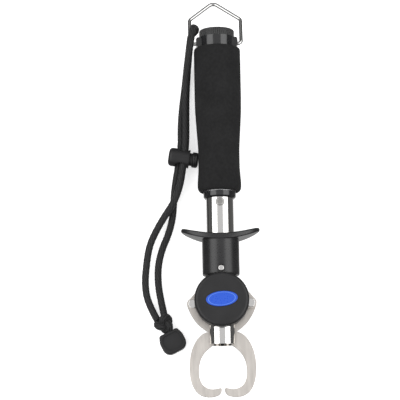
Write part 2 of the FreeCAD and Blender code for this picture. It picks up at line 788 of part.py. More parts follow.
def make_trigger_sleeve():
    """Black sleeve with the finger flange, sliding on the scale tube."""
    sleeve_top = flange_top - flange_thickness / 2
    skirt_bottom = sleeve_bottom - sleeve_skirt
    sleeve = along_y(sleeve_radius, skirt_bottom, sleeve_top)
    rim = [edge for edge in sleeve.Edges if abs(edge.BoundBox.YMax - skirt_bottom) < 0.01]
    sleeve = sleeve.makeFillet(sleeve_rounding, rim)
    side_room = block(-sleeve_radius - 1, sleeve_radius + 1, skirt_bottom - 1, sleeve_bottom,
                      -sleeve_side_half_depth, sleeve_side_half_depth)
    guard_room = along_z(guard_radius + sleeve_skirt_gap, -sleeve_radius - 1, sleeve_radius + 1,
                         0, guard_y)
    sleeve = sleeve.cut([side_room, guard_room])
    body = sleeve.fuse(flange_plate())
    bore = along_y(tube_radius + running_fit, skirt_bottom - 1, flange_top + flange_rise + 1)
    dish = sleeve_radius - pin_dish_depth
    cuts = [bore, along_z(pin_radius, -sleeve_radius - 1, sleeve_radius + 1, 0, pin_y),
            along_z(pin_dish_radius, dish, sleeve_radius + 1, 0, pin_y),
            along_z(pin_dish_radius, -sleeve_radius - 1, -dish, 0, pin_y)]
    return body.cut(cuts)


def make_slider():
    """Piston inside the tube that carries the pin between two slots for the links."""
    slider = along_y(tube_bore - running_fit, slider_bottom, slider_top)
    slot_top = pin_y + hinge_radius + 1.0
    cuts = [along_z(pin_radius, -tube_radius, tube_radius, 0, pin_y)]
    for sign in (-1, 1):
        near = sign * slider_web_half
        far = sign * side_slot_half_depth
        cuts.append(block(-tube_radius, tube_radius, slider_bottom - 1, slot_top,
                          min(near, far), max(near, far)))
    return slider.cut(cuts)


def make_trigger_pin():
    """Cross pin with domed ends that ties sleeve, slider and links together."""
    end = sleeve_radius - pin_dish_depth + 0.5
    pin = along_z(pin_radius, -end, end, 0, pin_y)
    rims = [edge for edge in pin.Edges if edge.BoundBox.ZLength < 0.01]
    return pin.makeFillet(0.5, rims)


# ---- jaws and links -----------------------------------------------------------------------
def jaw_points(shares):
    """Jaw outline points from shares of its half width and reach."""
    return [Vector(across * jaw_half_width, jaw_pivot_y - down * jaw_reach, 0)
            for across, down in shares]


def make_right_jaw():
    """Flat hooked jaw with its lever, cut from plate in the middle plane."""
    pivot = Vector(jaw_pivot_x, jaw_pivot_y, 0)
    hinge = Vector(hinge_x, hinge_y, 0)
    square = math.degrees(math.atan2(hinge_y - jaw_pivot_y, hinge_x - jaw_pivot_x)) + 90
    outer = jaw_points(jaw_outer_edge)
    inner = jaw_points(jaw_inner_edge)
    tip = jaw_points(jaw_tip)
    wing = [polar(hinge, hinge_radius, -23)] + jaw_points(jaw_wing_edge[1:])
    lever_end = polar(hinge, hinge_radius, square)
    lever_start = polar(pivot, jaw_hub_radius, square)
    heel = polar(pivot, jaw_hub_radius, 200)
    outline = Part.Wire([
        arc(lever_end, polar(hinge, hinge_radius, square / 2 - 10), wing[0]),
        spline(wing),
        spline(outer),
        arc(outer[-1], tip[0], tip[1]),
        line(tip[1], tip[2]),
        line(tip[2], inner[0]),
        spline(inner),
        line(inner[-1], heel),
        arc(heel, polar(pivot, jaw_hub_radius, 165), lever_start),
        line(lever_start, lever_end),
    ])
    jaw = Part.Face(outline).extrude(Vector(0, 0, jaw_thickness))
    jaw.translate(Vector(0, 0, -jaw_thickness / 2))
    holes = [along_z(jaw_pin_radius + running_fit, -jaw_thickness, jaw_thickness,
                     jaw_pivot_x, jaw_pivot_y),
             along_z(rivet_radius, -jaw_thickness, jaw_thickness, hinge_x, hinge_y)]
    return jaw.cut(holes)


def make_right_rivet():
    """Rivet fixed in the jaw's lever, on which the link turns."""
    back = -jaw_thickness / 2
    rivet = along_z(rivet_radius, back, rivet_front, hinge_x, hinge_y)
    heads = []
    for low, rim_z in ((back - rivet_head_height, back - rivet_head_height),
                       (rivet_front, rivet_front + rivet_head_height)):
        head = along_z(rivet_head_radius, low, low + rivet_head_height, hinge_x, hinge_y)
        rim = [edge for edge in head.Edges if abs(edge.BoundBox.ZMin - rim_z) < 0.01
               and edge.BoundBox.ZLength < 0.01]
        heads.append(head.makeFillet(0.5, rim))
    return rivet.fuse(heads)


def make_right_link():
    """Flat link from the trigger pin to the jaw's lever."""
    start = Vector(0, pin_y, 0)
    end = Vector(hinge_x, hinge_y, 0)
    heading = math.degrees(math.atan2(hinge_y - pin_y, hinge_x))
    outline = Part.Wire([
        line(polar(start, hinge_radius, heading + 90), polar(end, hinge_radius, heading + 90)),
        arc(polar(end, hinge_radius, heading + 90), polar(end, hinge_radius, heading),
            polar(end, hinge_radius, heading - 90)),
        line(polar(end, hinge_radius, heading - 90), polar(start, hinge_radius, heading - 90)),
        arc(polar(start, hinge_radius, heading - 90), polar(start, hinge_radius, heading + 180),
            polar(start, hinge_radius, heading + 90)),
    ])
    link = Part.Face(outline).extrude(Vector(0, 0, link_thickness))
    link.translate(Vector(0, 0, link_face))
    far = link_face + link_thickness + 1
    return link.cut([along_z(pin_radius + loose_pivot, 0, far, 0, pin_y),
                     along_z(rivet_radius + running_fit, 0, far, hinge_x, hinge_y)])


# ---- lanyard, built in the finished frame -------------------------------------------------
def cord_radii(points):
    """Bend radius at each inner point: as wide as its shorter neighbouring run allows."""
    radii = []
    for before, corner, after in zip(points, points[1:], points[2:]):
        back = before - corner
        ahead = after - corner
        half_turn = (math.pi - back.getAngle(ahead)) / 2
        radii.append(0.45 * min(back.Length, ahead.Length) / math.tan(half_turn))
    return radii


def make_strand(points):
    """One strand of the lanyard as a plain round cord."""
    path = rounded_path(points, cord_radii(points))
    strand = swept_rod(path, cord_radius)
    expected = math.pi * cord_radius ** 2 * path.Length
    print("strand length %.1f, tightest bend %.1f, volume over section x length %.4f"
          % (path.Length, min(cord_radii(points)), strand.Volume / expected))
    return strand


def lock_placement():
    """Placement of the cord lock: its barrel's axis becomes local X."""
    return FreeCAD.Placement(lock_centre, FreeCAD.Rotation(z_axis, -lock_tilt))


def make_lock_body():
    """Barrel of the cord lock with its cord hole and the button's spigot."""
    barrel = along_x(lock_radius, -lock_left_end, lock_right_end)
    rim = [edge for edge in barrel.Edges if abs(edge.BoundBox.XMax + lock_left_end) < 0.01]
    barrel = barrel.makeFillet(lock_rounding, rim)
    spigot_end_x = lock_right_end + lock_spigot_length
    spigot = along_x(lock_spigot_radius, lock_right_end, spigot_end_x)
    bore = along_x(lock_bore_radius, spigot_end_x - lock_bore_depth, spigot_end_x + 1)
    hole = along_y(lock_hole_radius, -lock_radius - 1, lock_radius + 1, lock_hole_offset, 0)
    body = barrel.fuse(spigot).cut([bore, hole])
    body.Placement = lock_placement()
    return body


def make_lock_button():
    """Cup-shaped button over the spigot."""
    open_end = lock_right_end + button_travel + side_gap
    cup = along_x(button_radius, open_end, button_end)
    rim = [edge for edge in cup.Edges if abs(edge.BoundBox.XMin - button_end) < 0.01]
    cup = cup.makeFillet(button_rounding, rim)
    cup = cup.cut(along_x(button_radius - button_wall, open_end - 1, button_end - button_cap))
    cup.Placement = lock_placement()
    return cup


def make_lock_spring():
    """Small coil spring under the button."""
    low = lock_right_end + lock_spigot_length - lock_bore_depth
    spring = coil(lock_bore_radius - 2 * lock_spring_wire, lock_spring_wire, lock_spring_turns,
                  low, button_end - button_cap)
    spring.rotate(Vector(0, 0, 0), z_axis, -90)
    spring.Placement = lock_placement().multiply(spring.Placement)
    return spring


def make_lanyard_knot():
    """Knot that joins the strands, as a flattened ball."""
    flatten = FreeCAD.Matrix()
    flatten.scale(1, 1, knot_half_height / knot_radius)
    ball = Part.makeSphere(knot_radius).transformGeometry(flatten)
    ball.translate(knot_centre)
    return ball


def make_cord_end():
    """Moulded cord end: a rounded shield with a raised rim."""
    half = cord_end_width / 2
    top_half = cord_end_top_width / 2
    length = cord_end_length / 2

    def shield(inset):
        return Part.Wire(rounded_path([
            Vector(0, length - inset, 0), Vector(top_half - inset, length - inset, 0),
            Vector(half - inset, 0.35 * length, 0), Vector(half - inset, -length + inset, 0),
            Vector(-half + inset, -length + inset, 0), Vector(-half + inset, 0.35 * length, 0),
            Vector(-top_half + inset, length - inset, 0), Vector(0, length - inset, 0),
        ], cord_end_corners).Edges)

    body = Part.Face(shield(0)).extrude(Vector(0, 0, cord_end_thickness))
    rims = [edge for edge in body.Edges if edge.BoundBox.ZLength < 0.01]
    body = body.makeFillet(cord_end_rounding, rims)
    recess = Part.Face(shield(cord_end_rim)).extrude(Vector(0, 0, 2))
    recess.translate(Vector(0, 0, cord_end_thickness - cord_end_recess))
    body = body.cut(recess)
    body.rotate(Vector(0, 0, 0), z_axis, cord_end_turn)
    body.translate(cord_end_centre)
    return body


# ---- writing ------------------------------------------------------------------------------
def middle_shift():
    """Shift along Y that puts the origin halfway between the bail's peak and the jaws."""
    droop = math.radians(bail_droop())
    top = bail_pivot_y + bail_peak() * math.cos(droop) + wire_radius
    return -(top + jaw_bottom_y) / 2


def write(name, shape, along_axis=True):
    """Write one node, moved into the finished frame unless it was built there."""
    finished = shape.copy()
    if along_axis:
        finished.translate(Vector(0, middle_shift(), axis_height))
    finished.exportStep("parts/%s.step" % name)


def build():
    """Build and write every node."""
    os.makedirs("parts", exist_ok=True)
    write("handle_tube", make_handle_tube())
    write("foam_grip", make_foam_grip())
    write("lower_collar", make_lower_collar())
    write("end_collar", make_end_collar())
    write("collar_screws", make_collar_screws())
    write("rod_guide", make_rod_guide())
    write("wire_bail", make_wire_bail())
    write("lanyard_hitch", make_lanyard_hitch())
    write("zero_knob", make_zero_knob())
    write("knob_clip", make_knob_clip())
    write("scale_rod", make_scale_rod())
    write("rod_nut", make_rod_nut())
    write("rod_washer", make_rod_washer())
    write("scale_spring", coil(scale_spring_radius, scale_spring_wire, scale_spring_turns,
                               washer_top, seat_bottom))
    write("spring_seat", make_spring_seat())
    write("seat_clip", make_seat_clip())
    write("scale_tube", make_scale_tube())
    write("tube_plug", make_tube_plug())
    write("plug_screws", make_plug_screws())
    write("spring_stop", make_spring_stop())
    write("stop_screw", make_stop_screw())
    write("pivot_blocks", make_pivot_blocks())
    write("jaw_pins", make_jaw_pins())
    write("guard_front", make_guard(True))
    write("guard_rear", flipped(make_guard(False)))
    write("badge", make_badge())
    write("cover_screws", make_cover_screws())
    write("trigger_sleeve", make_trigger_sleeve())
    write("slider", make_slider())
    write("trigger_pin", make_trigger_pin())
    write("trigger_spring", coil(trigger_spring_radius, trigger_spring_wire,
                                 trigger_spring_turns, slider_top, stop_bottom))
    write("right_jaw", make_right_jaw())
    write("left_jaw", mirrored(make_right_jaw()))
    write("right_rivet", make_right_rivet())
    write("left_rivet", flipped(make_right_rivet()))
    write("right_link", make_right_link())
    write("left_link", flipped(make_right_link()))
    write("lanyard_strand_upper", make_strand(upper_strand), False)
    write("lanyard_strand_lower", make_strand(lower_strand), False)
    write("lock_body", make_lock_body(), False)
    write("lock_button", make_lock_button(), False)
    write("lock_spring", make_lock_spring(), False)
    write("lanyard_knot", make_lanyard_knot(), False)
    write("cord_end", make_cord_end(), False)
    print("droop %.3f, shift %.3f, axis height %.3f, bail pivot y %.3f"
          % (bail_droop(), middle_shift(), axis_height, bail_pivot_y + middle_shift()))


build()
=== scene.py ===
# %% [markdown]
# # A lip grip for anglers
# A fishing gripper lies on a pale table: a foam handle with a wire bail and a cord lanyard, a
# polished tube that slides out against a spring scale, a trigger with a finger flange, and two
# hooked steel jaws under round guard discs.  The metal and moulded pieces come from the packed
# CAD model.  This lesson adds the soft pieces and every finish, the badge's among them.

# %% Open the imported model
import math

import bpy
from mathutils import Matrix, Vector


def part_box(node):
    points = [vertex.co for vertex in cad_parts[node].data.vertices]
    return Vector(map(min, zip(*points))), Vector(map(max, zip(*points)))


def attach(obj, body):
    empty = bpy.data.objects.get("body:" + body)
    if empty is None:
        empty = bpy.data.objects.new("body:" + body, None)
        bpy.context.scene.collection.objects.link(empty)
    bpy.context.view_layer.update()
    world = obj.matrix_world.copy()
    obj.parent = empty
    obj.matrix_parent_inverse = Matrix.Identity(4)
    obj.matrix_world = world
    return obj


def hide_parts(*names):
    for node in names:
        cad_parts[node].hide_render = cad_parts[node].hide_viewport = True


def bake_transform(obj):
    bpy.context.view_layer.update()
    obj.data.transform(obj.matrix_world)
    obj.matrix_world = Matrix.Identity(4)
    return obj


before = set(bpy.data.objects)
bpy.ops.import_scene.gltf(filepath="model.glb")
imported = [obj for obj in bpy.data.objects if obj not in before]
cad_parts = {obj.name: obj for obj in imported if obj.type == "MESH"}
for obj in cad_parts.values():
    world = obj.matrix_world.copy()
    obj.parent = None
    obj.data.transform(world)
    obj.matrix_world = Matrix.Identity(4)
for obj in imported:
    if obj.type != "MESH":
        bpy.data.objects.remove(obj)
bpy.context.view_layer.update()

# %% [markdown]
# ## Camera
# The gripper is seen from high above, leaning a little towards its jaws, with a long
# lens so that the handle hardly tapers.  The camera is placed by working back from the point it
# looks at, which keeps the distance, height and roll as three separate numbers.

# %% Place the camera
look_at = Vector((-0.0137, -0.0048, 0.0165))
camera_distance = 1.3
camera_height_angle = 79.5
camera_lean = -0.98

camera_data = bpy.data.cameras.new("camera")
camera_data.lens = 168.55
camera_data.sensor_width = 36.0
camera_data.clip_end = 20.0
camera = bpy.data.objects.new("camera", camera_data)
bpy.context.scene.collection.objects.link(camera)
tilt = Matrix.Rotation(math.radians(90.0 - camera_height_angle), 4, "X")
lean = Matrix.Rotation(math.radians(camera_lean), 4, "Z")
aim = tilt @ lean
camera_place = look_at + aim.to_3x3() @ Vector((0, 0, camera_distance))
camera.matrix_world = Matrix.Translation(camera_place) @ aim
bpy.context.scene.camera = camera
print("camera at", [round(v, 4) for v in camera.location])

# %% [markdown]
# ## Studio
# Polished steel shows whatever stands around it, so the lights are part of its look.  Two long
# softboxes stand on either side and leave a grey gap overhead, which paints bright stripes down
# the tube with a grey one between them.  The floor is pale and large, and it is hidden from
# reflections, so that the sides of the tube fall off to dark as they do over a dark bench.

# %% Build the floor and the lights
def add_softbox(name, side, power):
    """A long panel light beside the gripper, aimed at it."""
    data = bpy.data.lights.new(name, "AREA")
    data.shape = "RECTANGLE"
    data.size = 0.95
    data.size_y = 2.4
    data.energy = power
    box = bpy.data.objects.new(name, data)
    away = 1.2
    lean_out = math.radians(47.0) * side
    box.location = (away * math.sin(lean_out), 0.0, away * math.cos(lean_out))
    box.rotation_euler = (0.0, lean_out, 0.0)
    bpy.context.scene.collection.objects.link(box)
    return box


bpy.ops.object.select_all(action="DESELECT")
bpy.ops.mesh.primitive_grid_add(x_subdivisions=8, y_subdivisions=8, size=8.0, location=(0, 0, 0))
floor = bpy.context.object
floor.name = "floor"
floor.visible_glossy = False
softbox_power = 13.0
left_softbox = add_softbox("softbox_left", -1, softbox_power)
add_softbox("softbox_right", 1, softbox_power)
world = bpy.data.worlds.new("studio")
bpy.context.scene.world = world
world.use_nodes = True
sky = world.node_tree
direction = sky.nodes.new("ShaderNodeTexCoord")
parts = sky.nodes.new("ShaderNodeSeparateXYZ")
slope = sky.nodes.new("ShaderNodeMapRange")
slope.inputs["From Min"].default_value = -1.0
height = sky.nodes.new("ShaderNodeValToRGB")
sky_bands = [(0.0, 0.75), (0.05, 0.75), (0.12, 0.13), (0.50, 0.10), (0.64, 0.08), (0.80, 0.68)]
height.color_ramp.elements[0].color = (0.75, 0.75, 0.75, 1)
height.color_ramp.elements[1].color = (0.68, 0.68, 0.69, 1)
for place, tone in sky_bands[1:]:
    band = height.color_ramp.elements.new(place)
    band.color = (tone, tone, tone, 1)
sky.links.new(direction.outputs["Generated"], parts.inputs["Vector"])
sky.links.new(parts.outputs["Z"], slope.inputs["Value"])
sky.links.new(slope.outputs["Result"], height.inputs["Fac"])
sky.links.new(height.outputs["Color"], sky.nodes["Background"].inputs["Color"])
bpy.context.scene.view_settings.view_transform = "Standard"
print("softboxes at", [round(v, 2) for v in left_softbox.location])

# %% [markdown]
# ## Tools for finishes
# Every finish starts from the Principled shader.  Its detail comes from noise laid out in the
# piece's own coordinates, in metres, so a grain of half a millimetre has a scale near 2000.

# %% Helpers for materials
def new_finish(name, colour, metallic, roughness):
    """A material with its uniform colour, metalness and roughness on the shader itself."""
    finish = bpy.data.materials.new(name)
    finish.use_nodes = True
    shader = finish.node_tree.nodes["Principled BSDF"]
    shader.inputs["Base Color"].default_value = (*colour, 1)
    shader.inputs["Metallic"].default_value = metallic
    shader.inputs["Roughness"].default_value = roughness
    return finish, finish.node_tree, shader


def grain(tree, scale, detail=3.0, stretch=(1, 1, 1)):
    """Noise in the piece's own coordinates, stretched where the grain has a direction."""
    coordinates = tree.nodes.new("ShaderNodeTexCoord")
    mapping = tree.nodes.new("ShaderNodeMapping")
    mapping.inputs["Scale"].default_value = stretch
    noise = tree.nodes.new("ShaderNodeTexNoise")
    noise.inputs["Scale"].default_value = scale
    noise.inputs["Detail"].default_value = detail
    tree.links.new(coordinates.outputs["Object"], mapping.inputs["Vector"])
    tree.links.new(mapping.outputs["Vector"], noise.inputs["Vector"])
    return noise.outputs["Fac"]


def cells(tree, scale):
    """Distance to the nearest cell centre, for foam and cast surfaces."""
    coordinates = tree.nodes.new("ShaderNodeTexCoord")
    voronoi = tree.nodes.new("ShaderNodeTexVoronoi")
    voronoi.inputs["Scale"].default_value = scale
    tree.links.new(coordinates.outputs["Object"], voronoi.inputs["Vector"])
    return voronoi.outputs["Distance"]


def vary(tree, value, low, high, socket):
    """Drive a socket between two numbers with a pattern."""
    spread = tree.nodes.new("ShaderNodeMapRange")
    spread.inputs["From Min"].default_value = 0.3
    spread.inputs["From Max"].default_value = 0.7
    spread.inputs["To Min"].default_value = low
    spread.inputs["To Max"].default_value = high
    tree.links.new(value, spread.inputs["Value"])
    tree.links.new(spread.outputs["Result"], socket)


def shade_between(tree, value, dark, light, socket):
    """Blend a socket's colour between two tones with a pattern."""
    ramp = tree.nodes.new("ShaderNodeValToRGB")
    ramp.color_ramp.elements[0].position = 0.3
    ramp.color_ramp.elements[0].color = (*dark, 1)
    ramp.color_ramp.elements[1].position = 0.7
    ramp.color_ramp.elements[1].color = (*light, 1)
    tree.links.new(value, ramp.inputs["Fac"])
    tree.links.new(ramp.outputs["Color"], socket)


def emboss(tree, shader, value, depth, strength=1.0):
    """Raise the surface by a pattern, to a depth in metres."""
    bump = tree.nodes.new("ShaderNodeBump")
    bump.inputs["Strength"].default_value = strength
    bump.inputs["Distance"].default_value = depth
    tree.links.new(value, bump.inputs["Height"])
    previous = shader.inputs["Normal"].links
    if previous:
        tree.links.new(previous[0].from_socket, bump.inputs["Normal"])
    tree.links.new(bump.outputs["Normal"], shader.inputs["Normal"])


def paint(finish, *names):
    """Give CAD nodes this finish."""
    for name in names:
        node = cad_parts[name]
        if not node.material_slots:
            node.data.materials.append(finish)
        for place in node.material_slots:
            place.material = finish


floor_finish, floor_tree, floor_shader = new_finish("table_white", (0.93, 0.93, 0.93), 0.0, 0.9)
shade_between(floor_tree, grain(floor_tree, 3.0), (0.91, 0.91, 0.91), (0.94, 0.94, 0.94),
              floor_shader.inputs["Base Color"])
floor_shader.inputs["Emission Color"].default_value = (1.0, 1.0, 1.0, 1)
floor_shader.inputs["Emission Strength"].default_value = 0.62
floor.data.materials.append(floor_finish)
print("floor finish ready")

# %% [markdown]
# ## The lanyard's two strands
# The lanyard is a doubled 5 mm braided cord.  A plain bevelled curve would look like a rubber
# hose, so each strand is a mesh tube whose skin rises and dips where the braid's carriers cross.
# It follows the smooth line of a NURBS curve laid from the bail to the knot.

# %% Lay the routes of the strands
upper_route = [
    (-0.0168, 0.1178, 0.0177), (-0.0188, 0.1066, 0.0209), (-0.0202, 0.0944, 0.0192),
    (-0.0215, 0.0822, 0.0126), (-0.0224, 0.0687, 0.0084), (-0.0226, 0.0523, 0.0072),
    (-0.0229, 0.0357, 0.0084), (-0.0255, 0.0186, 0.0083), (-0.0274, 0.0074, 0.0080),
    (-0.0317, -0.0045, 0.0082), (-0.0381, -0.0135, 0.0070), (-0.0447, -0.0238, 0.0036),
    (-0.0497, -0.0344, 0.0026), (-0.0519, -0.0479, 0.0027), (-0.0531, -0.0619, 0.0026),
    (-0.0509, -0.0750, 0.0027), (-0.0445, -0.0870, 0.0048),
]
lower_route = [
    (-0.0185, 0.1140, 0.0084), (-0.0198, 0.1039, 0.0092), (-0.0215, 0.0919, 0.0054),
    (-0.0231, 0.0786, 0.0027), (-0.0253, 0.0631, 0.0026), (-0.0264, 0.0486, 0.0029),
    (-0.0263, 0.0356, 0.0045), (-0.0289, 0.0195, 0.0044), (-0.0312, 0.0077, 0.0028),
    (-0.0322, -0.0037, 0.0026), (-0.0330, -0.0149, 0.0026), (-0.0361, -0.0264, 0.0026),
    (-0.0409, -0.0370, 0.0026), (-0.0438, -0.0490, 0.0027), (-0.0438, -0.0621, 0.0026),
    (-0.0418, -0.0742, 0.0028), (-0.0395, -0.0849, 0.0048),
]
cord_diameter = 0.005


def smooth_line(points):
    """Points along the NURBS curve that has these control points."""
    curve = bpy.data.curves.new("route", "CURVE")
    curve.dimensions = "3D"
    curve.resolution_u = 24
    spline = curve.splines.new("NURBS")
    spline.points.add(len(points) - 1)
    for point, place in zip(spline.points, points):
        point.co = (*place, 1.0)
    spline.order_u = 3
    spline.use_endpoint_u = True
    holder = bpy.data.objects.new("route", curve)
    bpy.context.scene.collection.objects.link(holder)
    line = bpy.data.meshes.new_from_object(holder)
    places = [vertex.co.copy() for vertex in line.vertices]
    bpy.data.objects.remove(holder)
    bpy.data.meshes.remove(line)
    return places


def line_length(places):
    """Length of a line of points."""
    return sum((b - a).length for a, b in zip(places, places[1:]))


upper_line = smooth_line(upper_route)
lower_line = smooth_line(lower_route)
print("strand lengths in mm:", round(line_length(upper_line) * 1000, 1),
      round(line_length(lower_line) * 1000, 1))


# %% Weave a braided tube round a line
def even_steps(places, step):
    """The same line with points a fixed step apart, with its direction at each."""
    total = line_length(places)
    count = max(2, round(total / step))
    stations = []
    travelled = 0.0
    index = 0
    for number in range(count + 1):
        target = total * number / count
        while index < len(places) - 2:
            run = (places[index + 1] - places[index]).length
            if travelled + run >= target:
                break
            travelled += run
            index += 1
        run = places[index + 1] - places[index]
        share = min(1.0, max(0.0, (target - travelled) / run.length))
        stations.append(places[index] + run * share)
    headings = [(stations[min(i + 1, count)] - stations[max(i - 1, 0)]).normalized()
                for i in range(count + 1)]
    return stations, headings, total


def carrier_height(across, along):
    """Height of the braid's skin, from 0 in a crease to 1 on a carrier, by its two helices."""
    first = across + along
    second = across - along
    over = math.cos(math.pi * (math.floor(first) + second))
    under = math.cos(math.pi * (math.floor(second) + first))
    rise_first = math.sin(math.pi * (first % 1.0)) ** 0.6 * (0.62 + 0.38 * abs(over))
    rise_second = math.sin(math.pi * (second % 1.0)) ** 0.6 * (0.62 - 0.38 * abs(under))
    return max(rise_first, rise_second)


def braided_tube(name, places, radius, carriers=8, pitch=0.0042, around=48, step=0.0004):
    """A tube with the raised pattern of a round braid, closed at both ends."""
    stations, headings, total = even_steps(places, step)
    side = headings[0].orthogonal().normalized()
    vertices = []
    heights = []
    for index, (place, heading) in enumerate(zip(stations, headings)):
        side = (side - heading * side.dot(heading)).normalized()
        up = heading.cross(side)
        for turn in range(around):
            angle = 2 * math.pi * turn / around
            rise = carrier_height(carriers * turn / around, index * step / pitch)
            reach = radius * (0.90 + 0.10 * rise)
            vertices.append(place + (side * math.cos(angle) + up * math.sin(angle)) * reach)
            heights.append(rise)
    faces = []
    for index in range(len(stations) - 1):
        for turn in range(around):
            following = (turn + 1) % around
            low = index * around
            faces.append((low + turn, low + following,
                          low + around + following, low + around + turn))
    faces.append(tuple(reversed(range(around))))
    last = (len(stations) - 1) * around
    faces.append(tuple(range(last, last + around)))
    mesh = bpy.data.meshes.new(name)
    mesh.from_pydata(vertices, [], faces)
    mesh.shade_smooth()
    # The braid height is kept as an attribute, and the cord's finish uses it to paint shade into
    # the creases.
    weave = mesh.attributes.new("weave", "FLOAT", "POINT")
    weave.data.foreach_set("value", heights)
    piece = bpy.data.objects.new(name, mesh)
    bpy.context.scene.collection.objects.link(piece)
    print(name, "length %.1f mm, %d faces" % (total * 1000, len(faces)))
    return piece


cord_finish, cord_tree, cord_shader = new_finish("black_braid", (0.013, 0.013, 0.013), 0.0, 0.66)
cord_shader.inputs["Sheen Weight"].default_value = 0.1
cord_shader.inputs["Specular IOR Level"].default_value = 0.3
braid_height_for_crease_shade = cord_tree.nodes.new("ShaderNodeAttribute")
braid_height_for_crease_shade.attribute_name = "weave"
# Painted shade: the braid's creases are coloured darker than its carriers, standing in for the
# shadow between them.
shade_between(cord_tree, braid_height_for_crease_shade.outputs["Fac"], (0.002, 0.002, 0.002),
              (0.016, 0.016, 0.0165), cord_shader.inputs["Base Color"])
vary(cord_tree, grain(cord_tree, 900.0), 0.5, 0.75, cord_shader.inputs["Roughness"])
emboss(cord_tree, cord_shader, grain(cord_tree, 7000.0), 0.00005, 0.6)

upper_strand = braided_tube("cord_upper", upper_line, cord_diameter / 2)
lower_strand = braided_tube("cord_lower", lower_line, cord_diameter / 2)
for strand in (upper_strand, lower_strand):
    strand.data.materials.append(cord_finish)
    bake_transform(strand)
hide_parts("lanyard_strand_upper")
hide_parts("lanyard_strand_lower")

# %% [markdown]
# ## Hitch and knot
# The strands are one cord: it turns round the bail's left leg, and its two ends meet in an
# overhand knot.  Both are short lengths of the same braid, bent tighter than the strands can
# be, so they are pieces of their own whose ends run into the strands.

# %% Turn the cord round the bail
bail_leg = Vector((0, 0.9093, -0.4160))
bail_up = Vector((0, 0.4160, 0.9093))
hitch_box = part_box("lanyard_hitch")
hitch_centre = (Vector(hitch_box[0]) + Vector(hitch_box[1])) / 2


def by_the_leg(out, along, up):
    """A place beside the bail's left leg: outboard, along the leg and above it, in mm."""
    return hitch_centre + (Vector((-out, 0, 0)) + bail_leg * along + bail_up * up) / 1000


hitch_route = [
    by_the_leg(-2.2, -3.6, 5.8), by_the_leg(-2.3, -1.8, 5.0), by_the_leg(-3.0, -0.4, 3.9),
    by_the_leg(-4.5, 0.2, 1.4), by_the_leg(-4.4, 0.4, -1.4), by_the_leg(-2.8, 0.0, -3.6),
    by_the_leg(-0.8, -1.2, -4.3), by_the_leg(-0.5, -3.2, -4.4),
]
hitch_radius = 0.0024
hitch = braided_tube("hitch", smooth_line(hitch_route), hitch_radius)
hitch.data.materials.append(cord_finish)
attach(hitch, "bail")
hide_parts("lanyard_hitch")

# %% Tie the overhand knot
knot_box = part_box("lanyard_knot")
knot_centre = (Vector(knot_box[0]) + Vector(knot_box[1])) / 2
knot_turn = math.radians(35.0)
knot_size = 1.62
knot_height = 2.9
knot_radius = 0.0026
knot_steps = 60
knot_route = []
for number in range(knot_steps + 1):
    swing = 2 * math.pi * number / knot_steps
    across = knot_size * (math.sin(swing) + 2 * math.sin(2 * swing))
    along = knot_size * (math.cos(swing) - 2 * math.cos(2 * swing))
    knot_route.append(knot_centre + Vector((
        across * math.cos(knot_turn) - along * math.sin(knot_turn),
        across * math.sin(knot_turn) + along * math.cos(knot_turn),
        -knot_height * math.sin(3 * swing))) / 1000)
knot = braided_tube("knot", smooth_line(knot_route), knot_radius)
knot.data.materials.append(cord_finish)
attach(knot, "handle")
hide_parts("lanyard_knot")

# %% [markdown]
# ## Foam grip
# The handle wears a thick foam sleeve.  It could be a plain lathe shape, but foam that is
# stretched over a tube swells a little between its ends, so the lathe shape is inflated with the
# cloth simulation while its bore stays pinned to the tube.

# %% Lathe the foam sleeve
def only_selected(piece):
    """Select one piece alone and make it active."""
    bpy.ops.object.select_all(action="DESELECT")
    piece.select_set(True)
    bpy.context.view_layer.objects.active = piece


foam_low, foam_high = (Vector(corner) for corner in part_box("foam_grip"))
axis_height = (foam_low.z + foam_high.z) / 2
foam_length = foam_high.y - foam_low.y
foam_outline = [
    (0.000, 12.4), (0.003, 13.2), (0.009, 14.1), (0.018, 14.8), (0.030, 15.15), (0.060, 15.2),
    (0.100, 14.9), (0.160, 14.45), (0.230, 14.4), (0.300, 14.45), (0.370, 14.9), (0.430, 15.3),
    (0.500, 15.75), (0.570, 16.15), (0.650, 16.3), (0.750, 16.3), (0.850, 16.3), (0.920, 16.3),
    (0.970, 16.3), (0.990, 16.3), (0.997, 16.2), (1.000, 15.8),
]
foam_bore = 11.3

bpy.ops.object.select_all(action="DESELECT")
bpy.ops.mesh.primitive_circle_add(vertices=96, radius=foam_bore / 1000,
                                  location=(0, foam_low.y, axis_height),
                                  rotation=(math.pi / 2, 0, 0))
foam = bpy.context.object
foam.name = "foam_sleeve"
bpy.ops.object.transform_apply(location=True, rotation=True, scale=True)
bpy.ops.object.mode_set(mode="EDIT")
bpy.ops.mesh.select_all(action="SELECT")
station = 0.0
radius = foam_bore
for share, wanted in foam_outline + [(1.0, foam_bore)]:
    bpy.ops.mesh.extrude_edges_move()
    bpy.ops.transform.translate(value=(0, (share - station) * foam_length, 0))
    bpy.ops.transform.resize(value=(wanted / radius, 1, wanted / radius),
                             center_override=(0, foam_low.y, axis_height))
    station = share
    radius = wanted
bpy.ops.mesh.extrude_edges_move()
bpy.ops.transform.translate(value=(0, -foam_length, 0))
bpy.ops.mesh.select_all(action="SELECT")
bpy.ops.mesh.remove_doubles(threshold=0.00001)
bpy.ops.mesh.normals_make_consistent(inside=False)
bpy.ops.object.mode_set(mode="OBJECT")
print("foam sleeve faces:", len(foam.data.polygons))


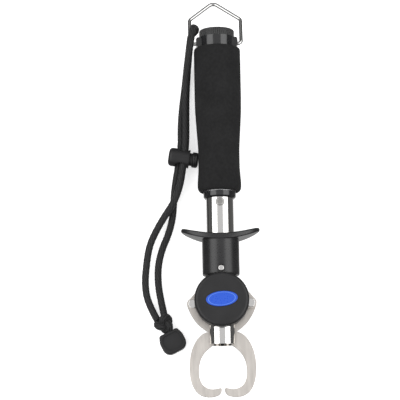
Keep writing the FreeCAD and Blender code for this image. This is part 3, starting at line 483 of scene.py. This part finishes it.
# %% Swell the foam
def swell_foam(piece, cap, pressure=4.0, steps=20):
    """Inflate the sleeve's outside a little, with its bore pinned, and keep the result."""
    only_selected(piece)
    remesh = piece.modifiers.new("even_skin", "REMESH")
    remesh.mode = "VOXEL"
    remesh.voxel_size = 0.0011
    bpy.ops.object.modifier_apply(modifier="even_skin")
    start = [vertex.co.copy() for vertex in piece.data.vertices]
    bore = piece.vertex_groups.new(name="bore")
    held = [vertex.index for vertex in piece.data.vertices
            if math.hypot(vertex.co.x, vertex.co.z - axis_height) < 0.0122]
    bore.add(held, 1.0, "ADD")
    cloth = piece.modifiers.new("swell", "CLOTH")
    cloth.settings.use_pressure = True
    cloth.settings.uniform_pressure_force = pressure
    cloth.settings.effector_weights.gravity = 0.0
    cloth.settings.vertex_group_mass = "bore"
    for number in range(1, steps + 1):
        bpy.context.scene.frame_set(number)
    bpy.ops.object.modifier_apply(modifier="swell")
    for vertex, before in zip(piece.data.vertices, start):
        move = vertex.co - before
        if move.length > cap:
            vertex.co = before + move * (cap / move.length)
    bpy.context.scene.frame_set(1)
    smooth = piece.modifiers.new("soften", "SUBSURF")
    smooth.levels = 1
    smooth.render_levels = 1
    bpy.ops.object.modifier_apply(modifier="soften")
    piece.data.shade_smooth()
    return len(held)


print("pinned bore points:", swell_foam(foam, 0.00025))
foam_finish, foam_tree, foam_shader = new_finish("foam_black", (0.012, 0.012, 0.0125), 0.0, 0.85)
shade_between(foam_tree, grain(foam_tree, 60.0, 5.0), (0.010, 0.010, 0.0103),
              (0.0145, 0.0145, 0.015), foam_shader.inputs["Base Color"])
vary(foam_tree, grain(foam_tree, 500.0), 0.72, 0.92, foam_shader.inputs["Roughness"])
foam_shader.inputs["Specular IOR Level"].default_value = 0.2
emboss(foam_tree, foam_shader, cells(foam_tree, 2600.0), 0.00008, 0.5)
emboss(foam_tree, foam_shader, grain(foam_tree, 250.0, 4.0), 0.0001, 0.4)
foam.data.materials.append(foam_finish)
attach(foam, "handle")
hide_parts("foam_grip")

# %% [markdown]
# ## Metal finishes
# Polished tube, satin jaws, bright wire and small hardware are all steel, but they are ground
# and polished in different ways.  Fine noise stretched along the direction of grinding changes
# roughness and relief, so that highlights break up like those on real metal.

# %% Polish the steel
tube_finish, tube_tree, tube_shader = new_finish("polished_tube", (0.78, 0.77, 0.75), 1.0, 0.09)
vary(tube_tree, grain(tube_tree, 900.0, 4.0, (1.0, 0.06, 1.0)), 0.06, 0.14,
     tube_shader.inputs["Roughness"])
emboss(tube_tree, tube_shader, grain(tube_tree, 2500.0, 3.0, (1.0, 0.04, 1.0)), 0.000004, 0.6)
paint(tube_finish, "scale_tube", "trigger_pin", "right_rivet", "left_rivet")

jaw_finish, jaw_tree, jaw_shader = new_finish("satin_jaw_steel", (0.66, 0.62, 0.575), 1.0, 0.4)
shade_between(jaw_tree, grain(jaw_tree, 420.0, 5.0, (1.0, 0.12, 1.0)),
              (0.60, 0.565, 0.525), (0.72, 0.68, 0.635), jaw_shader.inputs["Base Color"])
vary(jaw_tree, grain(jaw_tree, 1600.0, 4.0, (1.0, 0.15, 1.0)), 0.36, 0.50,
     jaw_shader.inputs["Roughness"])
emboss(jaw_tree, jaw_shader, grain(jaw_tree, 3200.0, 3.0, (1.0, 0.12, 1.0)), 0.00001, 0.6)
paint(jaw_finish, "right_jaw", "left_jaw", "right_link", "left_link")

wire_finish, wire_tree, wire_shader = new_finish("bright_wire", (0.55, 0.55, 0.54), 1.0, 0.2)
vary(wire_tree, grain(wire_tree, 1500.0), 0.15, 0.26, wire_shader.inputs["Roughness"])
emboss(wire_tree, wire_shader, grain(wire_tree, 4000.0), 0.000006, 0.5)
paint(wire_finish, "wire_bail", "jaw_pins", "scale_rod")

hardware_finish, hardware_tree, hardware_shader = new_finish(
    "zinc_hardware", (0.55, 0.54, 0.52), 1.0, 0.3)
vary(hardware_tree, grain(hardware_tree, 2200.0), 0.22, 0.4, hardware_shader.inputs["Roughness"])
emboss(hardware_tree, hardware_shader, grain(hardware_tree, 5000.0), 0.00001, 0.6)
paint(hardware_finish, "collar_screws", "rod_nut", "rod_washer", "knob_clip", "seat_clip",
      "plug_screws", "cover_screws", "rod_guide", "spring_seat", "tube_plug",
      "spring_stop", "pivot_blocks", "slider")

screw_finish, screw_tree, screw_shader = new_finish("dull_screw", (0.46, 0.45, 0.43), 1.0, 0.22)
vary(screw_tree, grain(screw_tree, 2200.0), 0.16, 0.28, screw_shader.inputs["Roughness"])
emboss(screw_tree, screw_shader, grain(screw_tree, 5000.0), 0.00001, 0.6)
paint(screw_finish, "stop_screw")

spring_finish, spring_tree, spring_shader = new_finish("spring_wire", (0.42, 0.41, 0.40), 1.0, 0.28)
vary(spring_tree, grain(spring_tree, 1800.0), 0.2, 0.38, spring_shader.inputs["Roughness"])
paint(spring_finish, "scale_spring", "trigger_spring", "lock_spring")

alloy_finish, alloy_tree, alloy_shader = new_finish("handle_alloy", (0.60, 0.60, 0.61), 1.0, 0.4)
vary(alloy_tree, grain(alloy_tree, 1200.0, 3.0, (1.0, 0.1, 1.0)), 0.33, 0.5,
     alloy_shader.inputs["Roughness"])
paint(alloy_finish, "handle_tube")
print("metal finishes ready")

# %% [markdown]
# ## Moulded plastics
# The guards, the trigger and the lanyard's fittings are moulded in black with a fine spark
# texture.  The end collar is the same plastic polished, and the zero knob sits between the two.

# %% Mould the plastics
plastic_finish, plastic_tree, plastic_shader = new_finish(
    "satin_black_plastic", (0.016, 0.016, 0.0165), 0.0, 0.42)
plastic_shader.inputs["Specular IOR Level"].default_value = 0.35
shade_between(plastic_tree, grain(plastic_tree, 90.0, 4.0), (0.013, 0.013, 0.0135),
              (0.019, 0.0185, 0.0195), plastic_shader.inputs["Base Color"])
vary(plastic_tree, grain(plastic_tree, 1400.0), 0.36, 0.5, plastic_shader.inputs["Roughness"])
emboss(plastic_tree, plastic_shader, grain(plastic_tree, 4200.0, 4.0), 0.00003, 0.5)
paint(plastic_finish, "guard_front", "guard_rear", "lock_body", "cord_end")

trigger_finish, trigger_tree, trigger_shader = new_finish(
    "trigger_plastic", (0.016, 0.016, 0.0165), 0.0, 0.3)
shade_between(trigger_tree, grain(trigger_tree, 90.0, 4.0), (0.013, 0.013, 0.0135),
              (0.019, 0.0185, 0.0195), trigger_shader.inputs["Base Color"])
vary(trigger_tree, grain(trigger_tree, 1400.0), 0.25, 0.36, trigger_shader.inputs["Roughness"])
emboss(trigger_tree, trigger_shader, grain(trigger_tree, 4200.0, 4.0), 0.00002, 0.4)
paint(trigger_finish, "trigger_sleeve")

gloss_finish, gloss_tree, gloss_shader = new_finish("gloss_black", (0.012, 0.012, 0.013), 0.0, 0.16)
gloss_shader.inputs["Coat Weight"].default_value = 0.4
vary(gloss_tree, grain(gloss_tree, 700.0), 0.12, 0.22, gloss_shader.inputs["Roughness"])
emboss(gloss_tree, gloss_shader, grain(gloss_tree, 1800.0), 0.000008, 0.5)
paint(gloss_finish, "end_collar", "lower_collar")

knob_finish, knob_tree, knob_shader = new_finish("ribbed_black", (0.014, 0.014, 0.0145), 0.0, 0.25)
vary(knob_tree, grain(knob_tree, 1100.0), 0.2, 0.32, knob_shader.inputs["Roughness"])
emboss(knob_tree, knob_shader, grain(knob_tree, 3600.0), 0.00001, 0.5)
paint(knob_finish, "zero_knob")

button_finish, button_tree, button_shader = new_finish(
    "ridged_button", (0.012, 0.012, 0.0125), 0.0, 0.4)
vary(button_tree, grain(button_tree, 1400.0), 0.34, 0.48, button_shader.inputs["Roughness"])
ridges = button_tree.nodes.new("ShaderNodeTexWave")
ridges.inputs["Scale"].default_value = 260.0
button_place = button_tree.nodes.new("ShaderNodeTexCoord")
button_tree.links.new(button_place.outputs["Object"], ridges.inputs["Vector"])
emboss(button_tree, button_shader, ridges.outputs["Fac"], 0.0003)
paint(button_finish, "lock_button")
print("plastic finishes ready")

# %% [markdown]
# ## Badge
# A small domed oval sits in the front guard.  It is left plain: a blue field, a thin lighter
# line near the edge that is a painted highlight, and a dark rim that is painted shade from its
# recess.

# %% Paint the badge
badge_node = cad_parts["badge"]
badge_points = [vertex.co for vertex in badge_node.data.vertices]
badge_middle = sum(badge_points, Vector()) / len(badge_points)
badge_middle.x = (max(p.x for p in badge_points) + min(p.x for p in badge_points)) / 2
badge_middle.y = (max(p.y for p in badge_points) + min(p.y for p in badge_points)) / 2
badge_tilt = math.radians(4.6)
badge_half_length = 0.0110
badge_half_height = 0.00525

badge_finish, badge_tree, badge_shader = new_finish("blue_badge", (0.014, 0.085, 0.56), 0.0, 0.35)
badge_shader.inputs["Coat Weight"].default_value = 0.15
vary(badge_tree, grain(badge_tree, 900.0), 0.24, 0.36, badge_shader.inputs["Roughness"])
emboss(badge_tree, badge_shader, grain(badge_tree, 2600.0), 0.00001, 0.5)
badge_place = badge_tree.nodes.new("ShaderNodeTexCoord")
badge_centred = badge_tree.nodes.new("ShaderNodeVectorMath")
badge_centred.operation = "SUBTRACT"
badge_centred.inputs[1].default_value = badge_middle
badge_levelled = badge_tree.nodes.new("ShaderNodeMapping")
badge_levelled.inputs["Rotation"].default_value = (0, 0, -badge_tilt)
badge_squared = badge_tree.nodes.new("ShaderNodeVectorMath")
badge_squared.operation = "MULTIPLY"
badge_squared.inputs[1].default_value = (1 / badge_half_length, 1 / badge_half_height, 0)
badge_reach = badge_tree.nodes.new("ShaderNodeVectorMath")
badge_reach.operation = "LENGTH"
# Blue field, then a painted highlight ring from 0.81 to 0.85, then a dark rim of painted recess
# shade from 0.975 out.
badge_field_highlight_shade_bands = badge_tree.nodes.new("ShaderNodeValToRGB")
badge_field_highlight_shade_bands.color_ramp.interpolation = "CONSTANT"
badge_field_highlight_shade_bands.color_ramp.elements[0].color = (0.014, 0.085, 0.56, 1)
badge_field_highlight_shade_bands.color_ramp.elements[1].position = 0.81
badge_field_highlight_shade_bands.color_ramp.elements[1].color = (0.12, 0.26, 0.74, 1)
for position, colour in ((0.85, (0.014, 0.085, 0.56, 1)), (0.975, (0.012, 0.02, 0.08, 1))):
    band = badge_field_highlight_shade_bands.color_ramp.elements.new(position)
    band.color = colour
badge_tree.links.new(badge_place.outputs["Object"], badge_centred.inputs[0])
badge_tree.links.new(badge_centred.outputs["Vector"], badge_levelled.inputs["Vector"])
badge_tree.links.new(badge_levelled.outputs["Vector"], badge_squared.inputs[0])
badge_tree.links.new(badge_squared.outputs["Vector"], badge_reach.inputs[0])
badge_tree.links.new(badge_reach.outputs["Value"], badge_field_highlight_shade_bands.inputs["Fac"])
badge_tree.links.new(badge_field_highlight_shade_bands.outputs["Color"], badge_shader.inputs["Base Color"])
paint(badge_finish, "badge")
print("badge painted around", [round(v, 4) for v in badge_middle])
